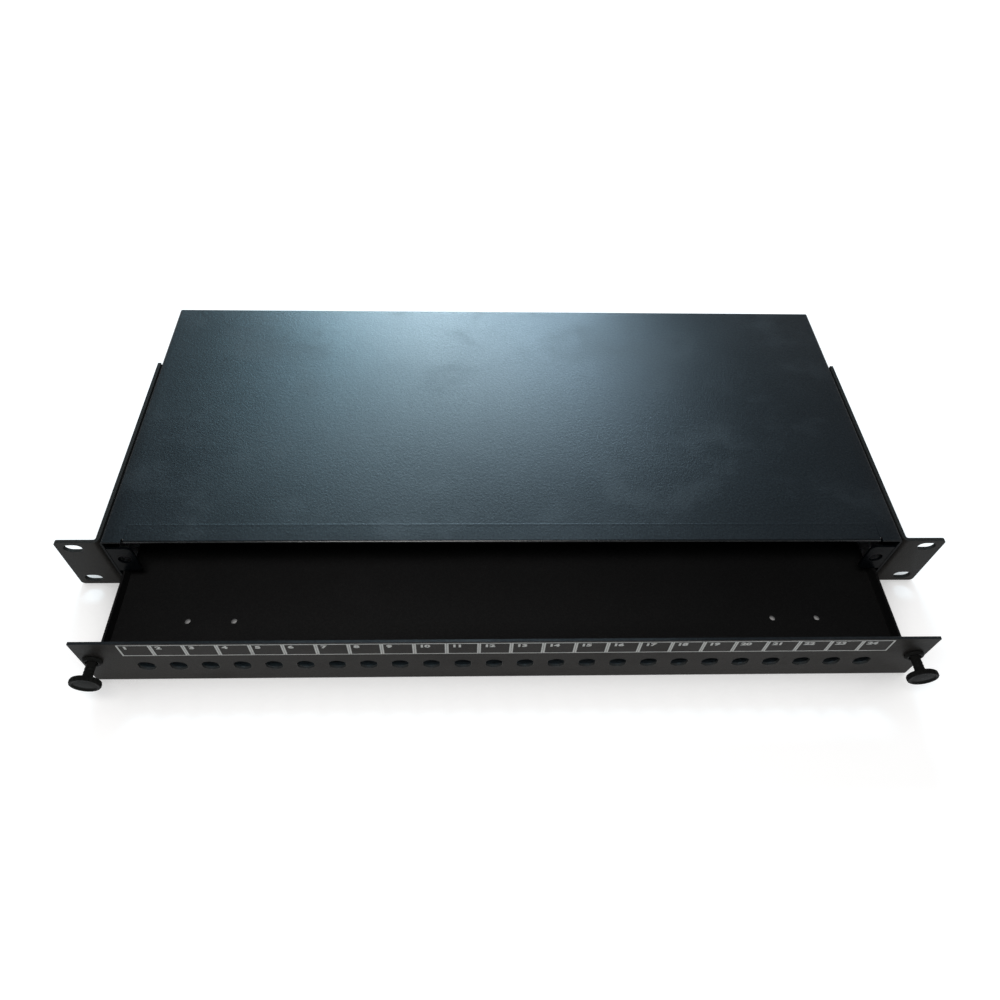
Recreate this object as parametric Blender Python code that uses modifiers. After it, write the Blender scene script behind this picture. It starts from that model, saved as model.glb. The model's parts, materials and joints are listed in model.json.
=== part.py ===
"""Sliding fibre patch panel, one rack unit high, modelled with its drawer part open.

Lengths are metres. X runs across the rack, +Y points to the rear and +Z up. Places are
worked out from the front plane of the rack ears, and shift_to_origin() then moves
everything so that the origin lies under the middle of the whole object.
"""

from math import acos, atan2, cos, hypot, pi, radians, sin, tan

import bmesh
import bpy


def even_places(first, last, count):
    """Places from first to last, with equal steps between them."""
    return [first + (last - first) * step / (count - 1) for step in range(count)]


# Driving dimensions of the rack standard
EAR_SPAN = 0.4826
UNIT_HEIGHT = 0.0436
SLOT_SIZE = (0.0102, 0.0070)
SLOT_EDGE_X = 0.00875
SLOT_EDGE_Z = 0.005925

# Driving dimensions of the sheet metal
SHEET = 0.0012
PANEL_SHEET = 0.0015
EAR_SHEET = 0.0020
GUIDE_SHEET = 0.0010
BEND = 0.0012
EAR_BEND = 0.0020
GUIDE_BEND = 0.0010
GAP = 0.0003

# Driving dimensions of the casing and its ears
EAR_WIDTH = 0.0218
EAR_CORNER = 0.0020
ARM_SETBACK = 0.0506
CASE_FRONT = 0.0003
CASE_REAR = 0.1840
FLANGE_WIDTH = 0.0142
PAN_SETBACK = 0.0007
HEM_END = 0.0122
HEM_SETBACK = 0.0009
HEM_DEPTH = 0.0100
HEM_STEP = 0.00035
NOTCH_WIDTH = 0.0020
NOTCH_DEPTH = 0.0012
TAB_REACH = 0.0142
TAB_DROP = 0.0072
TAB_SETBACK = 0.00015
TAB_CORNER = 0.0030

# Driving dimensions of the drawer
DRAWER_OPEN = 0.0550
DRAWER_TRAVEL_OUT = 0.0600
PANEL_INSET = 0.0012
PANEL_BOTTOM = 0.0004
PANEL_TOP_INSET = 0.0006
PANEL_CORNER = 0.0003
TRAY_SIDE_CLEARANCE = 0.0018
TRAY_REAR_CLEARANCE = 0.0125
WALL_HEIGHT = 0.0090
WALL_CLEARANCE = 0.0008

# Driving dimensions of the ports and the floor holes
PORT_PITCH = 0.0161
PORT_ROW_END = 0.0220
PORT_Z = 0.0170
PORT_DIAMETER = 0.0097
PORT_FLATS = 0.0087
PORT_MARGIN = 0.0060
NUT_CLEARANCE = 0.0031
FLOOR_HOLE_INSETS = (0.0646, 0.0394)
FLOOR_HOLE_SETBACK = 0.0305
FLOOR_HOLE = 0.0033

# Driving dimensions of the latches: a pin in a split socket
PIN_STEM = 0.0047
PIN_HEAD = 0.0154
PIN_DISH = 0.0118
PIN_TIP = 0.0026
PIN_POINT = 0.0032
PIN_REACH = 0.0042
HEAD_THICKNESS = 0.0026
HEAD_EDGE = 0.0006
LATCH_TRAVEL = 0.0085
SOCKET_WALL = 0.0005
SOCKET_BARB = 0.0003
SOCKET_FLANGE = 0.0100
SOCKET_FACE = 0.0019
SOCKET_LENGTH = 0.0078
SOCKET_SPLIT = 0.0012
TAB_HOLE_CLEARANCE = 0.00015

# Driving dimensions of the screws, rivets and studs
EAR_SCREW_FRONT = 0.0250
EAR_SCREW_REAR_INSET = 0.0184
EAR_SCREW_RISE = 0.0069
EAR_SCREW = 0.0040
SCREW_HEAD = 0.0075
SCREW_SOCKET = 0.0024
SCREW_END = 0.0015
BASE_RIVET_EDGE = 0.0092
BASE_RIVET_INSET = 0.0300
BASE_RIVET = 0.0032
BASE_RIVET_HEAD = 0.0056
STUD = 0.0030
STUD_END = 0.0012
NUT = 0.0062
NUT_HEIGHT = 0.0020

# Driving dimensions of what is inside and behind
GUIDE_FRONT = 0.0040
GUIDE_REAR_INSET = 0.0120
GUIDE_HEIGHT = 0.0124
GUIDE_REACH = 0.0082
LUG_REACH = 0.0100
LUG_DROP = 0.0020
STOP_SETBACK = 0.0045
STOP_CLEARANCE = 0.0010
STOP_FOOT = 0.0120
STOP_WIDTH = 0.0080
GLIDE_WIDTH = 0.0150
GLIDE_INSET = 0.0492
GLIDE_THICKNESS = 0.0005
GLIDE_FRONT = 0.0120
GLIDE_REAR_INSET = 0.0140
SPOOL_INSET = 0.0942
SPOOL_SETBACK = 0.0493
SPOOL_HUB = 0.0600
SPOOL_FLANGE = 0.0700
SPOOL_HEIGHT = 0.0220
SPOOL_WALL = 0.0018
SPOOL_SCREW = 0.0032
SPOOL_SCREW_HEAD = 0.0064
SPOOL_SCREW_HEIGHT = 0.0020
GROMMET_INSET = 0.0522
GROMMET_Z = 0.0220
GROMMET_HOLE = 0.0200
GROMMET_RIM = 0.0025
GROMMET_LIP = 0.0016
GROMMET_EDGE = 0.0006

# Widths, worked out from the ears inwards
SLOT_SPACING_X = EAR_SPAN - 2 * SLOT_EDGE_X
ARM_OUTER = EAR_SPAN / 2 - EAR_WIDTH
ARM_INNER = ARM_OUTER - EAR_SHEET
CASE_HALF = ARM_INNER - GAP
CASE_INNER = CASE_HALF - SHEET
FLANGE_INNER = CASE_HALF - FLANGE_WIDTH
HEM_HALF = CASE_HALF - HEM_END
TAB_INNER = CASE_HALF - TAB_REACH
LATCH_X = (TAB_INNER + CASE_INNER) / 2
BASE_RIVETS_X = CASE_HALF - BASE_RIVET_EDGE
GUIDE_INNER = CASE_HALF - GUIDE_REACH
GROMMET_X = CASE_HALF - GROMMET_INSET
PANEL_WIDTH = 2 * (CASE_HALF - PANEL_INSET)
PORT_COUNT = int((PANEL_WIDTH - 2 * PORT_ROW_END) / PORT_PITCH)
PORTS_HALF = (PORT_COUNT - 1) / 2 * PORT_PITCH + PORT_DIAMETER / 2
LOW_WALL_HALF = PORTS_HALF + PORT_MARGIN
TRAY_HALF = CASE_INNER - TRAY_SIDE_CLEARANCE
STUD_X = (LOW_WALL_HALF + TRAY_HALF - SHEET) / 2
FLOOR_HOLES_X = [TRAY_HALF - inset for inset in FLOOR_HOLE_INSETS]
GLIDE_X = (TRAY_HALF - GLIDE_INSET - GLIDE_WIDTH, TRAY_HALF - GLIDE_INSET)
SPOOL_X = TRAY_HALF - SPOOL_INSET

# Heights, worked out from the bottom upwards
SLOT_SPACING_Z = UNIT_HEIGHT - 2 * SLOT_EDGE_Z
BASE_BOTTOM = SHEET + GAP
BASE_TOP = BASE_BOTTOM + SHEET
TRAY_BOTTOM = BASE_TOP + GLIDE_THICKNESS + 2 * GAP
FLOOR_TOP = TRAY_BOTTOM + SHEET
TRAY_TOP = TRAY_BOTTOM + WALL_HEIGHT
LOW_WALL_TOP = PORT_Z - PORT_DIAMETER / 2 - NUT_CLEARANCE
STUD_Z = (FLOOR_TOP + TRAY_TOP) / 2 + GAP
GUIDE_BOTTOM = TRAY_TOP + WALL_CLEARANCE
GUIDE_TOP = GUIDE_BOTTOM + GUIDE_HEIGHT
EAR_SCREW_Z = GUIDE_BOTTOM + EAR_SCREW_RISE
TAB_BOTTOM = TRAY_TOP + WALL_CLEARANCE
TAB_TOP = UNIT_HEIGHT - TAB_DROP
LATCH_Z = (TAB_BOTTOM + TAB_TOP) / 2
PANEL_TOP = UNIT_HEIGHT - PANEL_TOP_INSET

# Depths, from the front plane of the ears
PANEL_BACK = -DRAWER_OPEN
PANEL_FRONT = PANEL_BACK - PANEL_SHEET
TRAY_FRONT = PANEL_BACK + GAP
TRAY_REAR = CASE_REAR - SHEET - TRAY_REAR_CLEARANCE - DRAWER_OPEN
ARM_END = CASE_REAR - ARM_SETBACK
EAR_SCREWS_Y = even_places(EAR_SCREW_FRONT, ARM_END - EAR_SCREW_REAR_INSET, 3)
BASE_RIVETS_Y = even_places(BASE_RIVET_INSET, CASE_REAR - BASE_RIVET_INSET, 3)
GUIDE_SPAN = (GUIDE_FRONT, CASE_REAR - GUIDE_REAR_INSET)
GLIDE_SPAN = (GLIDE_FRONT, CASE_REAR - GLIDE_REAR_INSET)
SPOOL_Y = TRAY_REAR - SPOOL_SETBACK
STOP_Y = TRAY_REAR - STOP_SETBACK
STOP_LUG_Y = STOP_Y - SHEET / 2 - STOP_CLEARANCE - DRAWER_TRAVEL_OUT - SHEET
LATCH_PULLED = SOCKET_FACE + GAP + LATCH_TRAVEL
FRONTMOST = PANEL_FRONT - LATCH_PULLED - HEAD_THICKNESS
REARMOST = CASE_REAR + GROMMET_LIP + GAP
ORIGIN_Y = (FRONTMOST + REARMOST) / 2

# Round holes for the latches and the spools
SOCKET_BORE = PIN_STEM / 2 + GAP
SOCKET_BARREL = SOCKET_BORE + SOCKET_WALL
PANEL_LATCH_HOLE = 2 * (SOCKET_BARREL + GAP)
TAB_LATCH_HOLE = 2 * (SOCKET_BARREL + SOCKET_BARB + TAB_HOLE_CLEARANCE)
SPOOL_HOLE = SPOOL_SCREW + 2 * GAP

# Rotations that stand a flat outline up
FACING_FRONT = (pi / 2, 0, 0)
FACING_SIDE = (pi / 2, 0, pi / 2)
SIDES = (("left", -1), ("right", 1))
ROUND = 32
THROUGH = 0.0080
OVER = 0.0010


# Scene, collections and materials


def clear_scene():
    for obj in list(bpy.data.objects):
        bpy.data.objects.remove(obj, do_unlink=True)


def make_collection(name):
    collection = bpy.data.collections.new(name)
    bpy.context.scene.collection.children.link(collection)
    return collection


clear_scene()
PARTS = make_collection("fiber_patch_panel")
CUTTERS = make_collection("cutters")


def make_material(name, colour, roughness, metallic=0.0):
    material = bpy.data.materials.new(name)
    material.use_nodes = True
    shader = material.node_tree.nodes["Principled BSDF"]
    shader.inputs["Base Color"].default_value = (*colour, 1.0)
    shader.inputs["Roughness"].default_value = roughness
    shader.inputs["Metallic"].default_value = metallic
    return material


CASE_PAINT = make_material("black_powder_coat", (0.022, 0.024, 0.027), 0.42)
DRAWER_PAINT = make_material("black_drawer_coat", (0.020, 0.020, 0.021), 0.50)
PANEL_PAINT = make_material("black_front_coat", (0.030, 0.028, 0.027), 0.55)
NYLON = make_material("black_nylon", (0.010, 0.010, 0.011), 0.20)
SLIP_STRIP = make_material("white_slip_strip", (0.75, 0.75, 0.72), 0.45)
SPOOL_PLASTIC = make_material("black_spool_plastic", (0.018, 0.018, 0.019), 0.55)
RUBBER = make_material("black_rubber", (0.012, 0.012, 0.012), 0.75)
ZINC = make_material("zinc_plated_steel", (0.62, 0.63, 0.65), 0.32, 1.0)
BLACK_SCREW = make_material("black_screw_steel", (0.03, 0.03, 0.03), 0.35, 1.0)


# Building blocks


def add_object(name, mesh, material=None):
    """A part when it has a material, and otherwise a cutter or a helper to be joined."""
    obj = bpy.data.objects.new(name, mesh)
    if material is None:
        CUTTERS.objects.link(obj)
        obj.hide_render = True
        obj.display_type = "WIRE"
    else:
        PARTS.objects.link(obj)
        mesh.materials.append(material)
    return obj


def block(name, x, y, z, material=None):
    """A box between two limits on each axis."""
    mesh = bpy.data.meshes.new(name)
    shape = bmesh.new()
    bmesh.ops.create_cube(shape, size=1.0)
    bmesh.ops.scale(shape, vec=(x[1] - x[0], y[1] - y[0], z[1] - z[0]), verts=shape.verts)
    shape.to_mesh(mesh)
    shape.free()
    obj = add_object(name, mesh, material)
    obj.location = ((x[0] + x[1]) / 2, (y[0] + y[1]) / 2, (z[0] + z[1]) / 2)
    return obj


def rod(name, diameter, length, location, rotation=(0, 0, 0), sides=ROUND):
    """A cylinder or prism along its local Z, centred on its location, to cut or join with."""
    mesh = bpy.data.meshes.new(name)
    shape = bmesh.new()
    bmesh.ops.create_cone(
        shape,
        cap_ends=True,
        segments=sides,
        radius1=diameter / 2,
        radius2=diameter / 2,
        depth=length,
    )
    shape.to_mesh(mesh)
    shape.free()
    obj = add_object(name, mesh)
    obj.location = location
    obj.rotation_euler = rotation
    return obj


def arc(centre, radius, start, end, steps):
    """Points on an arc, both ends included, with the angles in radians."""
    turns = [start + (end - start) * step / steps for step in range(steps + 1)]
    return [(centre[0] + radius * cos(a), centre[1] + radius * sin(a)) for a in turns]


def rounded_rectangle(x, y, radius, steps=4):
    points = []
    centres = (
        (x[1] - radius, y[1] - radius),
        (x[0] + radius, y[1] - radius),
        (x[0] + radius, y[0] + radius),
        (x[1] - radius, y[0] + radius),
    )
    for quarter, centre in enumerate(centres):
        points += arc(centre, radius, quarter * pi / 2, (quarter + 1) * pi / 2, steps)
    return points


def obround(centre, width, height):
    """A slot longer in X than in Y, with full round ends."""
    reach = (width - height) / 2
    right = arc((centre[0] + reach, centre[1]), height / 2, -pi / 2, pi / 2, 8)
    left = arc((centre[0] - reach, centre[1]), height / 2, pi / 2, 3 * pi / 2, 8)
    return right + left


def double_d(centre, diameter, flats):
    """A round hole with a flat on its left and on its right."""
    half = acos(flats / diameter)
    top = arc(centre, diameter / 2, half, pi - half, 8)
    bottom = arc(centre, diameter / 2, pi + half, 2 * pi - half, 8)
    return top + bottom


def circle(centre, diameter):
    return arc(centre, diameter / 2, 0, 2 * pi * (1 - 1 / ROUND), ROUND - 1)


def plate(name, outlines, thickness, location, rotation, material=None):
    """A flat sheet from closed outlines, where the inner ones are its holes."""
    curve = bpy.data.curves.new(name, "CURVE")
    curve.dimensions = "2D"
    curve.fill_mode = "BOTH"
    curve.extrude = thickness / 2
    for outline in outlines:
        spline = curve.splines.new("POLY")
        spline.points.add(len(outline) - 1)
        for point, (x, y) in zip(spline.points, outline):
            point.co = (x, y, 0, 1)
        spline.use_cyclic_u = True
    guide = bpy.data.objects.new(name, curve)
    bpy.context.scene.collection.objects.link(guide)
    bpy.context.view_layer.update()
    graph = bpy.context.evaluated_depsgraph_get()
    mesh = bpy.data.meshes.new_from_object(guide.evaluated_get(graph))
    bpy.data.objects.remove(guide)
    shape = bmesh.new()
    shape.from_mesh(mesh)
    bmesh.ops.remove_doubles(shape, verts=shape.verts, dist=1e-6)
    bmesh.ops.recalc_face_normals(shape, faces=shape.faces)
    shape.to_mesh(mesh)
    shape.free()
    mesh.name = name
    obj = add_object(name, mesh, material)
    obj.location = location
    obj.rotation_euler = rotation
    return obj


def bend_path(corners, radius, steps=4):
    """The corners of a folded sheet's middle line, with each inner one rounded."""
    path = [corners[0]]
    for before, corner, after in zip(corners, corners[1:], corners[2:]):
        into = atan2(before[1] - corner[1], before[0] - corner[0])
        out = atan2(after[1] - corner[1], after[0] - corner[0])
        turn = (out - into + pi) % (2 * pi) - pi
        reach = radius / tan(abs(turn) / 2)
        middle = into + turn / 2
        far = hypot(radius, reach)
        centre = (corner[0] + far * cos(middle), corner[1] + far * sin(middle))
        side = pi / 2 if turn < 0 else -pi / 2
        swing = (pi - abs(turn)) * (1 if turn < 0 else -1)
        path += arc(centre, radius, into + side, into + side + swing, steps)
    return path + [corners[-1]]


def bent_sheet(name, corners, radius, span, thickness, rotation, material):
    """A folded sheet: its middle line drawn in local XY and drawn out along local Z."""
    mesh = bpy.data.meshes.new(name)
    shape = bmesh.new()
    points = [shape.verts.new((x, y, span[0])) for x, y in bend_path(corners, radius)]
    edges = [shape.edges.new(pair) for pair in zip(points, points[1:])]
    drawn = bmesh.ops.extrude_edge_only(shape, edges=edges)["geom"]
    moved = [item for item in drawn if isinstance(item, bmesh.types.BMVert)]
    bmesh.ops.translate(shape, vec=(0, 0, span[1] - span[0]), verts=moved)
    bmesh.ops.recalc_face_normals(shape, faces=shape.faces)
    shape.to_mesh(mesh)
    shape.free()
    obj = add_object(name, mesh, material)
    obj.rotation_euler = rotation
    solidify = obj.modifiers.new("sheet", "SOLIDIFY")
    solidify.thickness = thickness
    solidify.offset = 0
    solidify.use_even_offset = True
    return obj


def turned(name, profile, location, rotation, material=None, closed=False, sides=ROUND):
    """A profile of (radius, height) points, top to bottom on its outer side, turned about Z."""
    mesh = bpy.data.meshes.new(name)
    edges = [(index, index + 1) for index in range(len(profile) - 1)]
    if closed:
        edges.append((len(profile) - 1, 0))
    mesh.from_pydata([(radius, 0, height) for radius, height in profile], edges, [])
    obj = add_object(name, mesh, material)
    obj.location = location
    obj.rotation_euler = rotation
    screw = obj.modifiers.new("turn", "SCREW")
    screw.steps = sides
    screw.render_steps = sides
    screw.use_merge_vertices = True
    screw.merge_threshold = 1e-6
    return obj


def change(target, other, operation="DIFFERENCE"):
    boolean = target.modifiers.new(other.name, "BOOLEAN")
    boolean.operation = operation
    boolean.object = other
    boolean.solver = "EXACT"


def soften(obj, width, segments=1):
    bevel = obj.modifiers.new("edges", "BEVEL")
    bevel.width = width
    bevel.segments = segments
    bevel.limit_method = "ANGLE"
    bevel.angle_limit = radians(50)


def pair(side, low, high):
    """Limits on X for the left (-1) or the right (1) side, in rising order."""
    return tuple(sorted((side * low, side * high)))


def from_the_side(side):
    """The rotation that points local +Z outwards, to the left or to the right."""
    return (0, side * pi / 2, 0)


# Casing


def case_shell():
    """Top, both sides and two bottom flanges, folded from one sheet."""
    middle = SHEET / 2
    side_x = CASE_HALF - middle
    top_z = UNIT_HEIGHT - middle
    corners = [(-FLANGE_INNER, middle), (-side_x, middle), (-side_x, top_z)]
    corners += [(-x, z) for x, z in reversed(corners)]
    span = (-CASE_REAR, -CASE_FRONT)
    shell = bent_sheet("case_shell", corners, BEND, span, SHEET, FACING_FRONT, CASE_PAINT)
    fold_front_hem(shell)
    for name, side in SIDES:
        change(shell, latch_tab(name, side), "UNION")
        place = (side * LATCH_X, CASE_FRONT + SHEET, LATCH_Z)
        change(shell, rod(f"tab_hole_{name}", TAB_LATCH_HOLE, THROUGH, place, FACING_FRONT))
        for number, y in enumerate(EAR_SCREWS_Y):
            place = (side * side_x, y, EAR_SCREW_Z)
            change(shell, screw_hole(f"shell_hole_{name}_{number}", side, place))
        for number, y in enumerate(BASE_RIVETS_Y):
            place = (side * BASE_RIVETS_X, y, middle)
            change(shell, rod(f"flange_hole_{name}_{number}", BASE_RIVET + 2 * GAP, THROUGH, place))
    return shell


def screw_hole(name, side, place):
    """Clearance hole for an ear screw, across the rack."""
    return rod(name, EAR_SCREW + 2 * GAP, THROUGH, place, from_the_side(side))


def fold_front_hem(shell):
    """The front of the top is folded back under itself, between two relief notches."""
    front = CASE_FRONT - OVER
    hem_front = CASE_FRONT + HEM_SETBACK
    hem_rear = hem_front + HEM_DEPTH
    under_top = UNIT_HEIGHT - SHEET
    top_sheet = (under_top - OVER, UNIT_HEIGHT + OVER)
    change(shell, block("hem_trim", (-HEM_HALF, HEM_HALF), (front, hem_front), top_sheet))
    for name, side in SIDES:
        notch_x = pair(side, HEM_HALF - NOTCH_WIDTH / 2, HEM_HALF + NOTCH_WIDTH / 2)
        notch_y = (front, hem_front + NOTCH_DEPTH)
        change(shell, block(f"hem_notch_{name}", notch_x, notch_y, top_sheet))
    recess = (UNIT_HEIGHT - HEM_STEP, UNIT_HEIGHT + OVER)
    change(shell, block("hem_recess", (-HEM_HALF, HEM_HALF), (front, hem_rear), recess))
    fold_half = HEM_HALF - NOTCH_WIDTH / 4
    fold_z = (under_top - SHEET + GAP / 3, under_top + GAP)
    fold = block("hem_fold", (-fold_half, fold_half), (hem_front + GAP, hem_rear - GAP), fold_z)
    change(shell, fold, "UNION")


def latch_tab(name, side):
    """The lug at the mouth that a latch plunger snaps into."""
    outer = side * (CASE_HALF - SHEET / 2)
    centre_x = side * (TAB_INNER + TAB_CORNER)
    side_on = pi / 2 + side * pi / 2
    outline = [(outer, TAB_BOTTOM), (outer, TAB_TOP)]
    outline += arc((centre_x, TAB_TOP - TAB_CORNER), TAB_CORNER, pi / 2, side_on, 4)
    outline += arc((centre_x, TAB_BOTTOM + TAB_CORNER), TAB_CORNER, side_on, side_on + side * pi / 2, 4)
    place = (0, CASE_FRONT + TAB_SETBACK + SHEET / 2, 0)
    return plate(f"tab_{name}", [outline], SHEET, place, FACING_FRONT)


def base_pan():
    """Floor and rear wall, folded from one sheet that lies on the shell's flanges."""
    middle = SHEET / 2
    half = CASE_INNER - 2 * GAP
    corners = [
        (CASE_FRONT + PAN_SETBACK, BASE_BOTTOM + middle),
        (CASE_REAR - middle, BASE_BOTTOM + middle),
        (CASE_REAR - middle, UNIT_HEIGHT - SHEET - GAP),
    ]
    pan = bent_sheet("base_pan", corners, BEND, (-half, half), SHEET, FACING_SIDE, CASE_PAINT)
    for name, side in SIDES:
        place = (side * GROMMET_X, CASE_REAR - middle, GROMMET_Z)
        change(pan, rod(f"cable_hole_{name}", GROMMET_HOLE, THROUGH, place, FACING_FRONT))
        for number, y in enumerate(BASE_RIVETS_Y):
            place = (side * BASE_RIVETS_X, y, BASE_BOTTOM + middle)
            change(pan, rod(f"pan_hole_{name}_{number}", BASE_RIVET + 2 * GAP, THROUGH, place))
    return pan


def base_rivets(name, side):
    """Flush underneath, with a low head inside the casing."""
    head = BASE_RIVET_HEAD / 2
    radius = BASE_RIVET / 2
    head_top = TRAY_BOTTOM - GAP
    head_under = BASE_TOP + GAP
    profile = [
        (0, head_top),
        (head, head_top),
        (head, head_under),
        (radius, head_under),
        (radius, GAP),
        (0, GAP),
    ]
    for number, y in enumerate(BASE_RIVETS_Y, start=1):
        place = (side * BASE_RIVETS_X, y, 0)
        turned(f"base_rivet_{name}_{number}", profile, place, (0, 0, 0), ZINC, sides=20)


def rack_ear(name, side):
    """Slotted rack flange and the long arm that is screwed to the casing's side."""
    middle = EAR_SHEET / 2
    arm_x = side * (ARM_INNER + middle)
    corners = [(side * EAR_SPAN / 2, middle), (arm_x, middle), (arm_x, ARM_END)]
    span = (0, UNIT_HEIGHT)
    ear = bent_sheet(f"rack_ear_{name}", corners, EAR_BEND, span, EAR_SHEET, (0, 0, 0), CASE_PAINT)
    for level, z in (("low", -1), ("high", 1)):
        centre = (side * SLOT_SPACING_X / 2, UNIT_HEIGHT / 2 + z * SLOT_SPACING_Z / 2)
        outline = obround(centre, *SLOT_SIZE)
        change(ear, plate(f"slot_{name}_{level}", [outline], THROUGH, (0, 0, 0), FACING_FRONT))
        change(ear, ear_corner(name, side, level, z))
    head = SCREW_HEAD / 2 + GAP
    shank = EAR_SCREW / 2 + GAP
    sink = [
        (0, OVER),
        (head + OVER, OVER),
        (shank, shank - head),
        (shank, -THROUGH / 2),
        (0, -THROUGH / 2),
    ]
    for number, y in enumerate(EAR_SCREWS_Y):
        place = (side * ARM_OUTER, y, EAR_SCREW_Z)
        change(ear, turned(f"sink_{name}_{number}", sink, place, from_the_side(side)))
    return ear


def ear_corner(name, side, level, z):
    """The waste outside a rounded outer corner of the ear."""
    corner = (side * EAR_SPAN / 2, UNIT_HEIGHT / 2 + z * UNIT_HEIGHT / 2)
    centre = (corner[0] - side * EAR_CORNER, corner[1] - z * EAR_CORNER)
    beyond = (corner[0] + side * OVER, corner[1] + z * OVER)
    start = 0 if side > 0 else pi
    waste = arc(centre, EAR_CORNER, start, start + side * z * pi / 2, 4)
    waste += [(centre[0], beyond[1]), beyond, (beyond[0], centre[1])]
    return plate(f"corner_{name}_{level}", [waste], THROUGH, (0, 0, 0), FACING_FRONT)


def ear_screws(name, side):
    """Countersunk screws through the ear's arm, the casing and the drawer guide."""
    head = SCREW_HEAD / 2
    radius = EAR_SCREW / 2
    top = -GAP / 3
    end = -(ARM_OUTER - CASE_INNER + GAP + GUIDE_SHEET + SCREW_END)
    profile = [
        (0, top - SCREW_SOCKET / 2),
        (SCREW_SOCKET / 2, top - SCREW_SOCKET / 2),
        (SCREW_SOCKET / 2, top),
        (head, top),
        (radius, top - head + radius),
        (radius, end),
        (0, end),
    ]
    for number, y in enumerate(EAR_SCREWS_Y, start=1):
        place = (side * ARM_OUTER, y, EAR_SCREW_Z)
        turned(f"ear_screw_{name}_{number}", profile, place, from_the_side(side), BLACK_SCREW, sides=20)


def drawer_guide(name, side):
    """Angle over the tray's side wall, with the lug that stops the drawer when it is out."""
    middle = GUIDE_SHEET / 2
    leg_x = CASE_INNER - GAP - middle
    foot_z = GUIDE_BOTTOM + middle
    corners = [(side * leg_x, GUIDE_TOP), (side * leg_x, foot_z), (side * GUIDE_INNER, foot_z)]
    span = (-GUIDE_SPAN[1], -GUIDE_SPAN[0])
    guide = bent_sheet(f"drawer_guide_{name}", corners, GUIDE_BEND, span, GUIDE_SHEET, FACING_FRONT, ZINC)
    lug_x = pair(side, GUIDE_INNER - LUG_REACH, leg_x)
    lug_y = (STOP_LUG_Y, STOP_LUG_Y + SHEET)
    change(guide, block(f"lug_{name}", lug_x, lug_y, (foot_z, GUIDE_TOP - LUG_DROP)), "UNION")
    for number, y in enumerate(EAR_SCREWS_Y):
        place = (side * leg_x, y, EAR_SCREW_Z)
        change(guide, screw_hole(f"guide_hole_{name}_{number}", side, place))
    return guide


def glide_strip(name, side):
    """Slippery strip on the base that the tray slides on."""
    bottom = BASE_TOP + GAP
    top = TRAY_BOTTOM - GAP
    return block(f"glide_strip_{name}", pair(side, *GLIDE_X), GLIDE_SPAN, (bottom, top), SLIP_STRIP)


def cable_grommet(name, side):
    """Rubber edging in a cable entry of the rear wall."""
    lip = GROMMET_HOLE / 2 + GROMMET_RIM
    neck = GROMMET_HOLE / 2 - GAP
    bore = neck - GROMMET_RIM
    out = SHEET / 2 + GAP
    end = out + GROMMET_LIP
    profile = [(bore, end), (lip - GROMMET_EDGE, end), (lip, end - GROMMET_EDGE), (lip, out), (neck, out)]
    profile += [(radius, -height) for radius, height in reversed(profile)]
    place = (side * GROMMET_X, CASE_REAR - SHEET / 2, GROMMET_Z)
    return turned(f"cable_grommet_{name}", profile, place, FACING_FRONT, RUBBER, closed=True)


# Drawer


def front_panel():
    """Port plate: a row of double-D ports and a latch hole at each end."""
    half = PANEL_WIDTH / 2
    outlines = [rounded_rectangle((-half, half), (PANEL_BOTTOM, PANEL_TOP), PANEL_CORNER, 2)]
    for port in range(PORT_COUNT):
        x = (port - (PORT_COUNT - 1) / 2) * PORT_PITCH
        outlines.append(double_d((x, PORT_Z), PORT_DIAMETER, PORT_FLATS))
    outlines += [circle((side * LATCH_X, LATCH_Z), PANEL_LATCH_HOLE) for _, side in SIDES]
    place = (0, (PANEL_FRONT + PANEL_BACK) / 2, 0)
    return plate("front_panel", outlines, PANEL_SHEET, place, FACING_FRONT, PANEL_PAINT)


def drawer_tray():
    """Shallow open tray: its front wall is lower behind the ports, where the adapters' nuts go."""
    mesh = bpy.data.meshes.new("drawer_tray")
    shape = bmesh.new()
    bmesh.ops.create_cube(shape, size=1.0)
    size = (2 * TRAY_HALF, TRAY_REAR - TRAY_FRONT, TRAY_TOP - TRAY_BOTTOM)
    bmesh.ops.scale(shape, vec=size, verts=shape.verts)
    top = [face for face in shape.faces if face.normal.z > 0.9]
    bmesh.ops.delete(shape, geom=top, context="FACES")
    shape.to_mesh(mesh)
    shape.free()
    tray = add_object("drawer_tray", mesh, DRAWER_PAINT)
    tray.location = (0, (TRAY_FRONT + TRAY_REAR) / 2, (TRAY_BOTTOM + TRAY_TOP) / 2)
    soften(tray, BEND, 3)
    solidify = tray.modifiers.new("sheet", "SOLIDIFY")
    solidify.thickness = SHEET
    solidify.offset = -1
    solidify.use_even_offset = True
    for name, side in SIDES:
        for number, x in enumerate(FLOOR_HOLES_X):
            place = (side * x, PANEL_FRONT + FLOOR_HOLE_SETBACK, FLOOR_TOP)
            change(tray, rod(f"floor_hole_{name}_{number}", FLOOR_HOLE, THROUGH, place))
        place = (side * STUD_X, TRAY_FRONT, STUD_Z)
        change(tray, rod(f"stud_hole_{name}", STUD + 2 * GAP, THROUGH, place, FACING_FRONT))
        place = (side * SPOOL_X, SPOOL_Y, FLOOR_TOP)
        change(tray, rod(f"spool_hole_{name}", SPOOL_HOLE, THROUGH, place))
    lowered = (LOW_WALL_TOP, TRAY_TOP + OVER)
    front_wall = (TRAY_FRONT - OVER, TRAY_FRONT + 2 * SHEET)
    change(tray, block("low_front_wall", (-LOW_WALL_HALF, LOW_WALL_HALF), front_wall, lowered))
    return tray


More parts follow.
